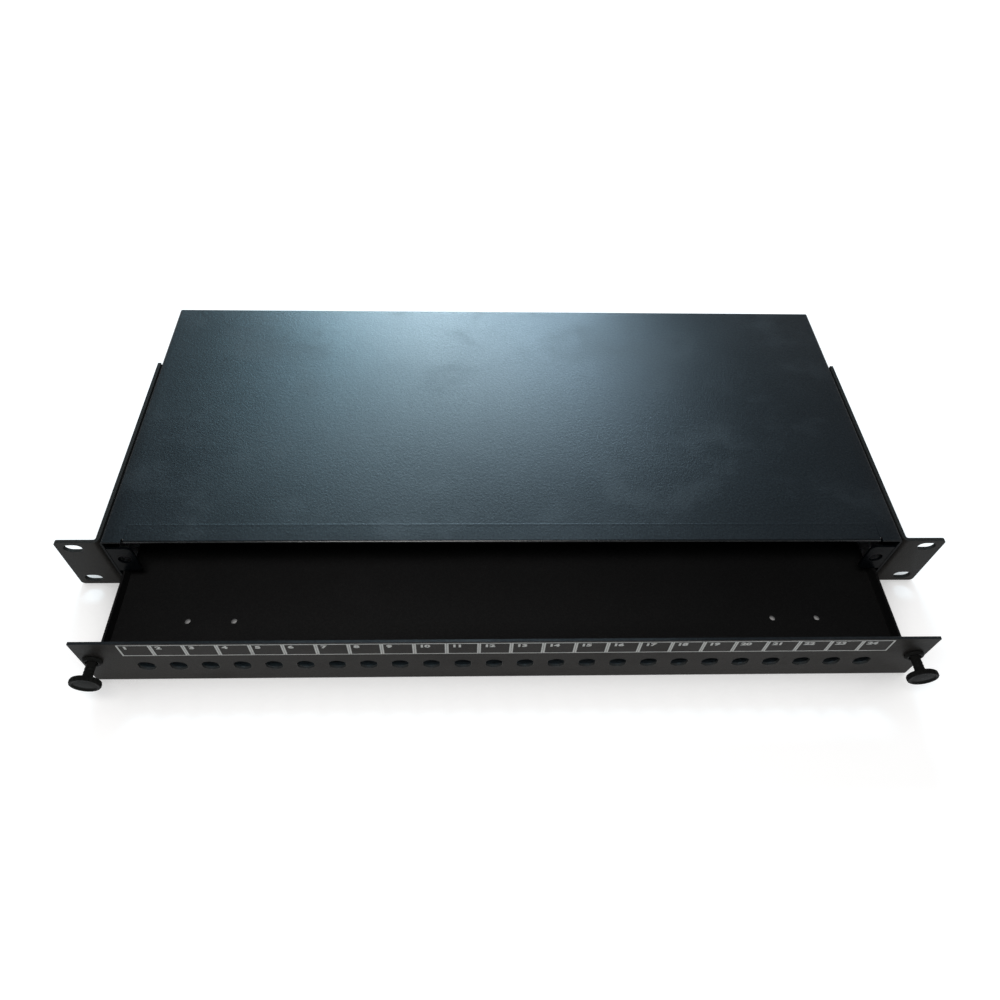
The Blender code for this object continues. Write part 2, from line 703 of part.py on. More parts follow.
def panel_stud(name, side):
    """Stud welded behind the port plate, with its hexagon nut inside the tray's corner."""
    radius = STUD / 2
    nut_front = SHEET + 2 * GAP
    nut_end = nut_front + NUT_HEIGHT
    end = nut_end + STUD_END
    profile = [(0, -GAP), (radius, -GAP), (radius, -end), (0, -end)]
    place = (side * STUD_X, PANEL_BACK, STUD_Z)
    stud = turned(f"panel_stud_{name}", profile, place, FACING_FRONT, ZINC, sides=18)
    place = (side * STUD_X, PANEL_BACK + (nut_front + nut_end) / 2, STUD_Z)
    change(stud, rod(f"nut_{name}", NUT, NUT_HEIGHT, place, FACING_FRONT, sides=6), "UNION")
    return stud


def latch_grommet(name, side):
    """Flanged nylon socket, split behind the panel so that its legs can spread."""
    bore = SOCKET_BORE
    barrel = SOCKET_BARREL
    barb = barrel + SOCKET_BARB
    flange = SOCKET_FLANGE / 2
    behind = -PANEL_SHEET - GAP
    end = -SOCKET_LENGTH
    profile = [
        (bore, SOCKET_FACE),
        (flange - SOCKET_WALL, SOCKET_FACE),
        (flange, SOCKET_FACE - SOCKET_WALL),
        (flange, GAP),
        (barrel, GAP),
        (barrel, behind),
        (barb, behind - GAP / 3),
        (barb, behind - 2 * SOCKET_BARB),
        (barrel, behind - 4 * SOCKET_BARB),
        (barrel, end + SOCKET_WALL),
        (barrel - SOCKET_WALL / 2, end),
        (bore, end),
    ]
    place = (side * LATCH_X, PANEL_FRONT, LATCH_Z)
    grommet = turned(f"latch_grommet_{name}", profile, place, FACING_FRONT, NYLON, closed=True)
    half = SOCKET_SPLIT / 2
    reach = barb + OVER
    across = (side * LATCH_X - reach, side * LATCH_X + reach)
    narrow = (side * LATCH_X - half, side * LATCH_X + half)
    split_y = (PANEL_FRONT - behind + 5 * SOCKET_BARB, PANEL_FRONT - end + OVER)
    upright = (LATCH_Z - reach, LATCH_Z + reach)
    change(grommet, block(f"split_across_{name}", across, split_y, (LATCH_Z - half, LATCH_Z + half)))
    change(grommet, block(f"split_upright_{name}", narrow, split_y, upright))
    return grommet


def latch_plunger(name, side):
    """Push pin with a mushroom head, shown pulled out, which is unlocked."""
    stem = PIN_STEM / 2
    tip = PIN_TIP / 2
    head = PIN_HEAD / 2
    dish = PIN_DISH / 2
    edge = HEAD_EDGE
    under = LATCH_PULLED
    face = under + HEAD_THICKNESS
    profile = [
        (0, face - edge),
        (dish - edge, face - edge),
        (dish, face),
        (head - edge, face),
        (head, face - edge),
        (head, under + edge),
        (head - edge, under),
        (stem + edge, under),
        (stem, under - edge),
        (stem, PIN_POINT - PIN_REACH),
        (tip, -PIN_REACH),
        (0, -PIN_REACH),
    ]
    place = (side * LATCH_X, PANEL_FRONT, LATCH_Z)
    return turned(f"latch_plunger_{name}", profile, place, FACING_FRONT, NYLON)


def stop_angle(name, side):
    """Upright lug at the tray's rear that meets the guide's lug when the drawer is out."""
    foot_z = FLOOR_TOP + GAP + SHEET / 2
    corners = [(STOP_Y - STOP_FOOT, foot_z), (STOP_Y, foot_z), (STOP_Y, GUIDE_TOP - 2 * LUG_DROP)]
    lug_inner = GUIDE_INNER - LUG_REACH
    span = pair(side, lug_inner, lug_inner + STOP_WIDTH)
    return bent_sheet(f"stop_angle_{name}", corners, BEND, span, SHEET, FACING_SIDE, ZINC)


def fibre_spool(name, side):
    """Open spool that spare fibre is wound on, screwed to the tray's floor."""
    hub = SPOOL_HUB / 2
    flange = SPOOL_FLANGE / 2
    wall = SPOOL_WALL
    top = SPOOL_HEIGHT
    profile = [
        (hub - wall, top),
        (flange, top),
        (flange, top - wall),
        (hub, top - wall),
        (hub, wall),
        (flange, wall),
        (flange, 0),
        (SPOOL_HOLE / 2, 0),
        (SPOOL_HOLE / 2, wall),
        (hub - wall, wall),
    ]
    place = (side * SPOOL_X, SPOOL_Y, FLOOR_TOP + GAP)
    return turned(f"fibre_spool_{name}", profile, place, (0, 0, 0), SPOOL_PLASTIC, closed=True, sides=40)


def spool_screw(name, side):
    """Pan-head screw in the middle of the spool, down through the tray's floor."""
    radius = SPOOL_SCREW / 2
    head = SPOOL_SCREW_HEAD / 2
    under = SPOOL_WALL + GAP
    top = under + SPOOL_SCREW_HEIGHT
    edge = radius / 2
    profile = [
        (0, top),
        (head - edge, top),
        (head, top - edge),
        (head, under),
        (radius, under),
        (radius, -SHEET),
        (0, -SHEET),
    ]
    place = (side * SPOOL_X, SPOOL_Y, FLOOR_TOP + GAP)
    return turned(f"spool_screw_{name}", profile, place, (0, 0, 0), ZINC, sides=20)


def shift_to_origin():
    """Puts the origin under the middle of the whole object as it stands at rest."""
    for obj in list(PARTS.objects) + list(CUTTERS.objects):
        obj.location.y -= ORIGIN_Y


def build():
    case_shell()
    base_pan()
    drawer_tray()
    front_panel()
    for name, side in SIDES:
        rack_ear(name, side)
        ear_screws(name, side)
        base_rivets(name, side)
        drawer_guide(name, side)
        glide_strip(name, side)
        cable_grommet(name, side)
        panel_stud(name, side)
        latch_grommet(name, side)
        latch_plunger(name, side)
        stop_angle(name, side)
        fibre_spool(name, side)
        spool_screw(name, side)
    shift_to_origin()


build()
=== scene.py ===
"""Looks for the sliding fibre patch panel: coats, print, edges, lights and the photo's camera.

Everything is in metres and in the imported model's frame: X across the rack, +Y to the rear,
+Z up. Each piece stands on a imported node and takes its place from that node's box.
"""

import json
from math import cos, pi, radians, sin

import bmesh
import bpy
from mathutils import Matrix, Vector

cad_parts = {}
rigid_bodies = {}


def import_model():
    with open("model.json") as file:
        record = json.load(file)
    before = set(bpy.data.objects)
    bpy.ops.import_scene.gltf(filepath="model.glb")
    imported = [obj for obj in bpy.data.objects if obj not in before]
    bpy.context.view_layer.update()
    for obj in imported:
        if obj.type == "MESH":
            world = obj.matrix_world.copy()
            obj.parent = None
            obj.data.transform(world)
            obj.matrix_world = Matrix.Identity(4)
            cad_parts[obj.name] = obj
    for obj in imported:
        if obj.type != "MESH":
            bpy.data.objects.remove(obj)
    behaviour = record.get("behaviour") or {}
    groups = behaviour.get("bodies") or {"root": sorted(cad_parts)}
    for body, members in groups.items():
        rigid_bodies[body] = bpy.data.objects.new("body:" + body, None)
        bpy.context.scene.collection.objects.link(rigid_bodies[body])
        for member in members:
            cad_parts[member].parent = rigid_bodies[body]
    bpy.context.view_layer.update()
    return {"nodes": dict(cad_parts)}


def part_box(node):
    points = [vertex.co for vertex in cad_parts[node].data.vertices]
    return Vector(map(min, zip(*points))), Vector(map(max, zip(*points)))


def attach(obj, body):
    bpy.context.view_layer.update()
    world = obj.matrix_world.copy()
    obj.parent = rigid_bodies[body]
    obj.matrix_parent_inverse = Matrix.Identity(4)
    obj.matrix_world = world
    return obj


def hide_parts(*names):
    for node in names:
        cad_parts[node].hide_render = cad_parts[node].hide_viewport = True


for old in list(bpy.data.objects):
    bpy.data.objects.remove(old, do_unlink=True)

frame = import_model()
NODES = frame["nodes"]
SIDES = (("left", -1), ("right", 1))
SIDE_FASTENERS = (1, 2, 3)


# Materials


class Tree:
    """A short way to write a material's nodes."""

    def __init__(self, name):
        self.material = bpy.data.materials.new(name)
        self.material.use_nodes = True
        self.nodes = self.material.node_tree.nodes
        self.links = self.material.node_tree.links
        self.nodes.clear()
        self.output = self.nodes.new("ShaderNodeOutputMaterial")
        self.place = self.nodes.new("ShaderNodeTexCoord").outputs["Object"]

    def put(self, socket, value):
        """Links another node's output to the socket, or sets the socket's own value."""
        if isinstance(value, bpy.types.NodeSocket):
            self.links.new(value, socket)
        elif socket.type == "RGBA" and len(value) == 3:
            socket.default_value = (*value, 1.0)
        else:
            socket.default_value = value

    def math(self, operation, first, second):
        node = self.nodes.new("ShaderNodeMath")
        node.operation = operation
        self.put(node.inputs[0], first)
        self.put(node.inputs[1], second)
        return node.outputs[0]

    def noise(self, scale, detail=2.0, rough=0.5, stretch=(1, 1, 1), seed=0.0):
        """Cloudy noise in object coordinates. The seed moves it, so that no two look alike."""
        mapping = self.nodes.new("ShaderNodeMapping")
        mapping.inputs["Scale"].default_value = stretch
        mapping.inputs["Location"].default_value = (seed, seed * 0.7, seed * 1.3)
        self.put(mapping.inputs["Vector"], self.place)
        node = self.nodes.new("ShaderNodeTexNoise")
        self.put(node.inputs["Vector"], mapping.outputs[0])
        node.inputs["Scale"].default_value = scale
        node.inputs["Detail"].default_value = detail
        node.inputs["Roughness"].default_value = rough
        return node.outputs["Fac"]

    def cells(self, scale):
        node = self.nodes.new("ShaderNodeTexVoronoi")
        self.put(node.inputs["Vector"], self.place)
        node.inputs["Scale"].default_value = scale
        return node.outputs["Distance"]

    def ramp(self, value, low, high, start=0.0, end=1.0):
        """Smooth rise from start to end as the value goes from low to high."""
        node = self.nodes.new("ShaderNodeMapRange")
        node.interpolation_type = "SMOOTHSTEP"
        self.put(node.inputs["Value"], value)
        node.inputs["From Min"].default_value = low
        node.inputs["From Max"].default_value = high
        node.inputs["To Min"].default_value = start
        node.inputs["To Max"].default_value = end
        return node.outputs["Result"]

    def mix(self, share, first, second):
        """The first colour, turning into the second as the share goes from 0 to 1."""
        node = self.nodes.new("ShaderNodeMix")
        node.data_type = "RGBA"
        self.put(node.inputs[0], share)
        self.put(node.inputs[6], first)
        self.put(node.inputs[7], second)
        return node.outputs[2]

    def bump(self, height, distance, under=None):
        """A normal for relief of the distance, on top of the normal under it."""
        node = self.nodes.new("ShaderNodeBump")
        node.inputs["Distance"].default_value = distance
        self.put(node.inputs["Height"], height)
        if under is not None:
            self.put(node.inputs["Normal"], under)
        return node.outputs["Normal"]

    def finish(self, colour, roughness, normal, **values):
        """Ends in a Principled shader. Further values are named as its sockets, with _ for spaces."""
        shader = self.nodes.new("ShaderNodeBsdfPrincipled")
        self.put(shader.inputs["Base Color"], colour)
        self.put(shader.inputs["Roughness"], roughness)
        self.put(shader.inputs["Normal"], normal)
        for name, value in values.items():
            self.put(shader.inputs[name.replace("_", " ")], value)
        self.links.new(shader.outputs[0], self.output.inputs["Surface"])
        return self.material


DUST = (0.16, 0.16, 0.155)
BARE_METAL = (0.10, 0.10, 0.105)
DULL_GLINT = (0.80, 0.80, 0.83)
BRIGHT_GLINT = (0.97, 1.0, 1.0)


def powder_coat(name, dark, light, rough, gloss, worn=False):
    """Fine-textured black powder coat: orange peel, speckle, glints, faint smears and dust."""
    tree = Tree(name)
    peel = tree.noise(1000, 2.0, 0.6)
    speck = tree.noise(2600, 1.0, 0.5, seed=3.0)
    cloud = tree.noise(14, 3.0, 0.55, seed=1.7)
    smear = tree.noise(34, 5.0, 0.65, stretch=(0.7, 1.0, 1.0), seed=4.3)
    colour = tree.mix(tree.ramp(speck, 0.35, 0.70), dark, light)
    dust = tree.ramp(tree.noise(2200, 0.0, 0.5, seed=8.0), 0.80, 0.86)
    colour = tree.mix(tree.math("MULTIPLY", dust, 0.30), colour, DUST)
    touched = tree.ramp(smear, 0.50, 0.68, 0.0, 0.06)
    clouded = tree.ramp(cloud, 0.3, 0.7, rough - 0.015, rough + 0.015)
    roughness = tree.math("ADD", clouded, touched)
    if worn:
        bare = tree.ramp(tree.noise(420, 4.0, 0.7, seed=2.2), 0.56, 0.66)
        colour = tree.mix(tree.math("MULTIPLY", bare, 0.35), colour, BARE_METAL)
    glint = tree.noise(850, 2.0, 0.6, seed=5.6)
    roughness = tree.math("ADD", roughness, tree.ramp(glint, 0.35, 0.65, -0.01, 0.01))
    tint = tree.mix(tree.ramp(glint, 0.35, 0.65), DULL_GLINT, BRIGHT_GLINT)
    normal = tree.bump(peel, 0.00008)
    normal = tree.bump(speck, 0.000012, under=normal)
    return tree.finish(colour, roughness, normal, Specular_IOR_Level=gloss, Specular_Tint=tint)


def moulded(name, dark, light, rough, gloss=0.5):
    """Moulded nylon or plastic: faint flow marks and a slightly uneven gloss."""
    tree = Tree(name)
    flow = tree.noise(160, 3.0, 0.5, stretch=(1, 0.3, 1))
    fine = tree.noise(2500, 1.0)
    colour = tree.mix(flow, dark, light)
    roughness = tree.ramp(flow, 0.3, 0.7, rough - 0.05, rough + 0.06)
    return tree.finish(colour, roughness, tree.bump(fine, 0.00002), Specular_IOR_Level=gloss)


def soft_rubber(name):
    """Black rubber with a pale bloom in patches."""
    tree = Tree(name)
    bloom = tree.noise(120, 4.0, 0.6)
    colour = tree.mix(tree.ramp(bloom, 0.4, 0.7), (0.012, 0.012, 0.012), (0.030, 0.030, 0.029))
    roughness = tree.ramp(bloom, 0.3, 0.7, 0.62, 0.80)
    return tree.finish(colour, roughness, tree.bump(tree.noise(1800), 0.00004))


def zinc_plate(name):
    """Blue-passivated zinc: crystalline patches, drawing lines and small stains."""
    tree = Tree(name)
    spangle = tree.cells(420)
    lines = tree.noise(60, 3.0, 0.6, stretch=(1.0, 30.0, 1.0))
    stain = tree.noise(70, 4.0, 0.6, seed=4.0)
    colour = tree.mix(tree.ramp(spangle, 0.1, 0.8), (0.50, 0.52, 0.55), (0.66, 0.67, 0.69))
    colour = tree.mix(tree.ramp(stain, 0.55, 0.75, 0.0, 0.35), colour, (0.42, 0.40, 0.34))
    roughness = tree.ramp(lines, 0.3, 0.7, 0.26, 0.42)
    return tree.finish(colour, roughness, tree.bump(lines, 0.00002), Metallic=1.0)


def black_steel(name):
    """Blackened steel, rubbed paler in places."""
    tree = Tree(name)
    rub = tree.noise(500, 4.0, 0.6)
    colour = tree.mix(tree.ramp(rub, 0.55, 0.72), (0.022, 0.022, 0.023), (0.12, 0.12, 0.12))
    roughness = tree.ramp(rub, 0.3, 0.7, 0.30, 0.45)
    return tree.finish(colour, roughness, tree.bump(rub, 0.00002), Metallic=0.6)


def slip_plastic(name):
    """White strip of slippery plastic, with grey sliding marks along it."""
    tree = Tree(name)
    lines = tree.noise(90, 3.0, 0.5, stretch=(8.0, 1.0, 1.0))
    colour = tree.mix(tree.ramp(lines, 0.4, 0.75), (0.74, 0.74, 0.70), (0.58, 0.58, 0.55))
    return tree.finish(colour, 0.45, tree.bump(lines, 0.00003))


def screen_ink(name):
    """Light grey screen print, a little thin and speckled where the coat's grain shows."""
    tree = Tree(name)
    grain = tree.noise(2600, 2.0, 0.6)
    thin = tree.noise(160, 3.0, 0.6, seed=6.0)
    colour = tree.mix(tree.ramp(grain, 0.52, 0.75), (0.66, 0.67, 0.65), (0.36, 0.36, 0.35))
    colour = tree.mix(tree.ramp(thin, 0.55, 0.8, 0.0, 0.35), colour, (0.32, 0.32, 0.32))
    return tree.finish(colour, 0.55, tree.bump(grain, 0.00003))


CASE_DARK = (0.0022, 0.0032, 0.0043)
RIM_DARK = (0.004, 0.005, 0.006)

# One black coat for the whole casing, in lit and shaded copies. The first two below are for the top
# faces. The side and rim coats are darker copies with almost no reflection, for the faces below the
# top and for the base pan. These darker, duller copies are painted shade; the rim copy also carries
# edge wear.
CASE = powder_coat("case_powder_coat", CASE_DARK, (0.006, 0.008, 0.0104), 0.37, 0.8)
CASE_EDGE = powder_coat("case_coat_edge", RIM_DARK, (0.011, 0.013, 0.015), 0.42, 0.25, worn=True)
CASE_SHADED_SIDE = powder_coat("case_coat_painted_shade_side", CASE_DARK, (0.0038, 0.0052, 0.0068), 0.38, 0.03)
CASE_SHADED_RIM = powder_coat("case_coat_rim_painted_shade", RIM_DARK, (0.007, 0.0085, 0.010), 0.42, 0.02, worn=True)
LIP = powder_coat("case_coat_lip", (0.006, 0.007, 0.008), (0.014, 0.016, 0.018), 0.25, 0.55)
DRAWER = powder_coat(
    "drawer_powder_coat", (0.0046, 0.0046, 0.0050), (0.0128, 0.0128, 0.0132), 0.50, 0.35
)
DRAWER_EDGE = powder_coat(
    "drawer_coat_edge", (0.008, 0.008, 0.009), (0.020, 0.020, 0.021), 0.45, 0.35, worn=True
)
FRONT = powder_coat(
    "front_powder_coat", (0.0190, 0.0178, 0.0165), (0.040, 0.0375, 0.035), 0.50, 0.07
)
FRONT_EDGE = powder_coat(
    "front_coat_edge", (0.012, 0.0115, 0.011), (0.026, 0.025, 0.024), 0.42, 0.4, worn=True
)
NYLON = moulded(
    "latch_nylon", (0.0120, 0.0125, 0.0120), (0.0200, 0.0205, 0.0200), 0.22, gloss=0.01
)
SPOOL = moulded("spool_plastic", (0.014, 0.014, 0.015), (0.026, 0.026, 0.027), 0.50)
SLIP = slip_plastic("slip_strip")
RUBBER = soft_rubber("grommet_rubber")
ZINC = zinc_plate("zinc_plate")
BLACK = black_steel("black_steel")
INK = screen_ink("label_ink")


# Shading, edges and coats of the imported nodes

SHARP_DEGREES = 32
FLAT_DEGREES = 0.5
WELD = 2e-6
# Heights above which faces take the glossy lit copy of the coat. Below them the casing keeps its
# painted-shade copy and the port plate its matte front coat.
CASE_TOP_FROM = 0.0420
PLATE_TOP_FROM = 0.0428


def geometry_group(name):
    """A new group of geometry nodes, with its output and its input for the geometry."""
    group = bpy.data.node_groups.new(name, "GeometryNodeTree")
    for way in ("INPUT", "OUTPUT"):
        group.interface.new_socket("Geometry", in_out=way, socket_type="NodeSocketGeometry")
    start = group.nodes.new("NodeGroupInput")
    end = group.nodes.new("NodeGroupOutput")
    return group, start.outputs[0], end.inputs[0]


def smooth_group(angle):
    """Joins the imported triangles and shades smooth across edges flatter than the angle."""
    group, start, end = geometry_group(f"smooth_{angle}")
    nodes, links = group.nodes, group.links
    merge = nodes.new("GeometryNodeMergeByDistance")
    merge.inputs["Distance"].default_value = WELD
    sharp = nodes.new("FunctionNodeCompare")
    sharp.inputs[1].default_value = radians(angle)
    edge = nodes.new("GeometryNodeInputMeshEdgeAngle")
    normal = nodes.new("GeometryNodeSetMeshNormal")
    normal.mode = "SHARPNESS"
    links.new(start, merge.inputs["Geometry"])
    links.new(edge.outputs["Unsigned Angle"], sharp.inputs[0])
    links.new(merge.outputs[0], normal.inputs["Mesh"])
    links.new(sharp.outputs[0], normal.inputs["Edge Sharpness"])
    links.new(normal.outputs[0], end)
    return group


SMOOTH = smooth_group(SHARP_DEGREES)


def smooth(obj):
    obj.modifiers.new("shade", "NODES").node_group = SMOOTH
    return obj


def dress(node, coat, edge=None, width=0.0):
    """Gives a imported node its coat, and where asked a small rounded edge with a coat of its own."""
    obj = NODES[node]
    obj.data.materials.clear()
    obj.data.materials.append(coat)
    smooth(obj)
    if edge is None:
        return
    obj.data.materials.append(edge)
    flat = obj.modifiers.new("flat", "DECIMATE")
    flat.decimate_type = "DISSOLVE"
    flat.angle_limit = radians(FLAT_DEGREES)
    bevel = obj.modifiers.new("edges", "BEVEL")
    bevel.width = width
    bevel.segments = 2
    bevel.limit_method = "ANGLE"
    bevel.angle_limit = radians(SHARP_DEGREES)
    bevel.harden_normals = True
    bevel.material = 1


def top_coat(node, coat, edge, height):
    """Gives the faces above a height another coat and edge: slots 2 and 3 in place of 0 and 1. One
    sheet thus takes a glossy lit copy of its coat on top and a darker or duller copy below: painted
    light and shade by height.
    """
    obj = NODES[node]
    obj.data.materials.append(coat)
    obj.data.materials.append(edge)
    group, start, end = geometry_group(f"top_{node}")
    nodes, links = group.nodes, group.links
    split = nodes.new("ShaderNodeSeparateXYZ")
    links.new(nodes.new("GeometryNodeInputPosition").outputs[0], split.inputs[0])
    above = nodes.new("FunctionNodeCompare")
    above.operation = "GREATER_THAN"
    above.inputs[1].default_value = height
    links.new(split.outputs["Z"], above.inputs[0])
    shift = nodes.new("FunctionNodeIntegerMath")
    shift.inputs[1].default_value = 2
    links.new(nodes.new("GeometryNodeInputMaterialIndex").outputs[0], shift.inputs[0])
    place = nodes.new("GeometryNodeSetMaterialIndex")
    links.new(start, place.inputs["Geometry"])
    links.new(above.outputs[0], place.inputs["Selection"])
    links.new(shift.outputs[0], place.inputs["Material Index"])
    links.new(place.outputs[0], end)
    obj.modifiers.new("top", "NODES").node_group = group


# Painted shade: the casing's faces below the top and the whole base pan take the darker, nearly
# unreflecting side and rim copies; the top faces get the lit copy next.
dress("case_shell", CASE_SHADED_SIDE, CASE_SHADED_RIM, 0.0003)
top_coat("case_shell", CASE, CASE_EDGE, CASE_TOP_FROM)
dress("base_pan", CASE_SHADED_SIDE, CASE_SHADED_RIM, 0.0002)
dress("drawer_tray", DRAWER, DRAWER_EDGE, 0.0002)
dress("front_panel", FRONT, FRONT_EDGE, 0.0002)
# Painted light: the port plate's top faces take the casing's glossy, bluish top coat to catch a
# sheen, while its front faces keep the lighter, nearly unreflecting front coat.
top_coat("front_panel", CASE, CASE_EDGE, PLATE_TOP_FROM)
for side_name, _ in SIDES:
    dress(f"rack_ear_{side_name}", FRONT, FRONT_EDGE, 0.0003)
    dress(f"drawer_guide_{side_name}", ZINC)
    dress(f"stop_angle_{side_name}", ZINC)
    dress(f"panel_stud_{side_name}", ZINC)
    dress(f"spool_screw_{side_name}", ZINC)
    dress(f"glide_strip_{side_name}", SLIP)
    dress(f"cable_grommet_{side_name}", RUBBER)
    dress(f"fibre_spool_{side_name}", SPOOL)
    dress(f"latch_grommet_{side_name}", NYLON)
    dress(f"latch_plunger_{side_name}", NYLON)
    for number in SIDE_FASTENERS:
        dress(f"ear_screw_{side_name}_{number}", BLACK)
        dress(f"base_rivet_{side_name}_{number}", ZINC)


# Ways to make a piece

FULL_TURN = 2 * pi
QUARTER_TURN = pi / 2
AHEAD = (0, -1, 0)
UP = (0, 0, 1)


def add_piece(name, mesh, material, body):
    mesh.materials.append(material)
    obj = bpy.data.objects.new(name, mesh)
    bpy.context.scene.collection.objects.link(obj)
    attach(obj, body)
    return obj


def to_mesh(shape, name):
    mesh = bpy.data.meshes.new(name)
    shape.to_mesh(mesh)
    shape.free()
    return mesh


def eased(profile, radius, steps, closed=False):
    """The profile with its corners rounded off, each by the radius or as far as its sides allow."""
    points = [Vector((*point, 0.0)[:3]) for point in profile]
    result = []
    for index, point in enumerate(points):
        before = points[index - 1]
        after = points[(index + 1) % len(points)]
        if not closed and index in (0, len(points) - 1):
            result.append(point)
            continue
        back = (before - point) * min(0.5, radius / (before - point).length)
        ahead = (after - point) * min(0.5, radius / (after - point).length)
        for step in range(steps + 1):
            share = step / steps
            result.append(point + back * (1 - share) ** 2 + ahead * share**2)
    return result


def turned(name, profile, centre, axis, closed=False, around=96, lobes=0, arcs=((0, FULL_TURN),)):
    """Mesh turned about an axis from points: radius, place along the axis, depth of the lobes."""
    along_axis = Vector(axis)
    first = along_axis.orthogonal().normalized()
    second = along_axis.cross(first)
    shape = bmesh.new()
    for start, end in arcs:
        whole = end - start > FULL_TURN - 0.01
        steps = round(around * (end - start) / FULL_TURN)
        columns = []
        for step in range(steps if whole else steps + 1):
            angle = start + (end - start) * step / steps
            spoke = first * cos(angle) + second * sin(angle)
            column = []
            for radius, along, depth in profile:
                reach = radius - depth * (0.5 - 0.5 * cos(lobes * angle))
                column.append(shape.verts.new(Vector(centre) + along_axis * along + spoke * reach))
            columns.append(column)
        if whole:
            columns.append(columns[0])
        else:
            shape.faces.new(columns[0])
            shape.faces.new(columns[-1])
        for one, two in zip(columns, columns[1:]):
            for index in range(len(profile) if closed else len(profile) - 1):
                after = (index + 1) % len(profile)
                shape.faces.new((one[index], one[after], two[after], two[index]))
    bmesh.ops.remove_doubles(shape, verts=shape.verts, dist=1e-7)
    bmesh.ops.recalc_face_normals(shape, faces=shape.faces)
    return to_mesh(shape, name)


def stand_in(node, coat, body, slot, profile, centre, axis, ending="fine", **how):
    """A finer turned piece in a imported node's place."""
    name = f"{node}_{ending}"
    piece = smooth(add_piece(name, turned(name, profile, centre, axis, **how), coat, body))
    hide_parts(node)


def foot(low, high):
    """The middle of a box's lower face."""
    return (low.x + high.x) / 2, (low.y + high.y) / 2, low.z


# Print on the port plate

PANEL_LOW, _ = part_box("front_panel")
INK_THICK = 0.00002
PRINT_Y = PANEL_LOW.y - INK_THICK
PORTS = range(1, 25)
PORT_PITCH = 0.0161
PORTS_MIDDLE = 12.5
LABEL_BOTTOM = 0.0296
LABEL_TOP = 0.0418
LINE = 0.00066
TICK = 0.00086
GAP = 0.00008
DIGIT_SIZE = 0.0040
DIGIT_BOLD = 0.00022
DIGIT_WIDE = 1.35
DIGIT_IN = 0.0025
DIGIT_DOWN = 0.0038


def port_x(number):
    return (number - PORTS_MIDDLE) * PORT_PITCH


def bar(shape, x, z):
    """A thin film of ink between two limits on X and on Z."""
    made = bmesh.ops.create_cube(shape, size=1.0)["verts"]
    bmesh.ops.scale(shape, vec=(x[1] - x[0], INK_THICK, z[1] - z[0]), verts=made)
    bmesh.ops.translate(shape, vec=((x[0] + x[1]) / 2, PRINT_Y, (z[0] + z[1]) / 2), verts=made)


def label_boxes():
    """One printed frame over each port, a hair away from the next one."""
    shape = bmesh.new()
    for number in PORTS:
        low = port_x(number) - PORT_PITCH / 2 + GAP
        high = port_x(number) + PORT_PITCH / 2 - GAP
        bar(shape, (low, high), (LABEL_TOP - LINE, LABEL_TOP))
        bar(shape, (low, high), (LABEL_BOTTOM, LABEL_BOTTOM + LINE))
        bar(shape, (low, low + TICK), (LABEL_BOTTOM + LINE, LABEL_TOP - LINE))
        bar(shape, (high - TICK, high), (LABEL_BOTTOM + LINE, LABEL_TOP - LINE))
    add_piece("label_boxes", to_mesh(shape, "label_boxes"), INK, "drawer")


def label_number(number):
    """A printed port number in the upper left corner of its frame."""
    curve = bpy.data.curves.new(f"number_{number}", "FONT")
    curve.body = str(number)
    curve.size = DIGIT_SIZE
    curve.offset = DIGIT_BOLD
    curve.extrude = INK_THICK / 2
    curve.resolution_u = 4
    guide = bpy.data.objects.new(curve.name, curve)
    bpy.context.scene.collection.objects.link(guide)
    bpy.context.view_layer.update()
    evaluated = guide.evaluated_get(bpy.context.evaluated_depsgraph_get())
    mesh = bpy.data.meshes.new_from_object(evaluated)
    bpy.data.objects.remove(guide)
    x = port_x(number) - PORT_PITCH / 2 + DIGIT_IN
    place = Matrix.Translation((x, PRINT_Y, LABEL_TOP - LINE - DIGIT_DOWN))
    upright = Matrix.Rotation(QUARTER_TURN, 4, "X")
    mesh.transform(place @ upright @ Matrix.Diagonal((DIGIT_WIDE, 1.0, 1.0, 1.0)))
    mesh.materials.clear()
    add_piece(f"port_number_{number:02d}", mesh, INK, "drawer")


# Turned pieces


def latch_pin(side_name):
    """Push pin with a fluted, dished head and a ridged stem."""
    node = f"latch_plunger_{side_name}"
    low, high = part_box(node)
    centre = ((low.x + high.x) / 2, PANEL_LOW.y, (low.z + high.z) / 2)
    face = PANEL_LOW.y - low.y
    tip = PANEL_LOW.y - high.y
    head = (high.x - low.x) / 2
    back = face - 0.0026
    dish = face - 0.0006
    flute, ease = 0.0005, 0.0004
    stem, crest = 0.00242, 0.00262
    front = [(0, face - 0.00035), (head - 0.0030, dish), (head - 0.0020, dish)]
    front += [(head - 0.0015, face), (head - ease, face), (head, face - ease, flute)]
    rear = [(head, back + 0.0005, flute), (head - ease, back)]
    rear += [(0.0033, back), (0.0030, back - 0.0003)]
    shaft = [(0.00255, back - 0.0026)]
    for ridge in (back - 0.0040, back - 0.0058):
        shaft += [(stem, ridge + ease), (crest, ridge), (stem, ridge - ease)]
    shaft += [(stem, tip + 0.0034), (0.0013, tip + 0.0003), (0.0010, tip), (0, tip)]
    profile = eased(front + rear, 0.00022, 3) + eased(shaft, 0.0002, 3)
    body = f"latch_{side_name}"
    stand_in(node, NYLON, body, "nylon", profile, centre, AHEAD, around=200, lobes=20)
    return centre


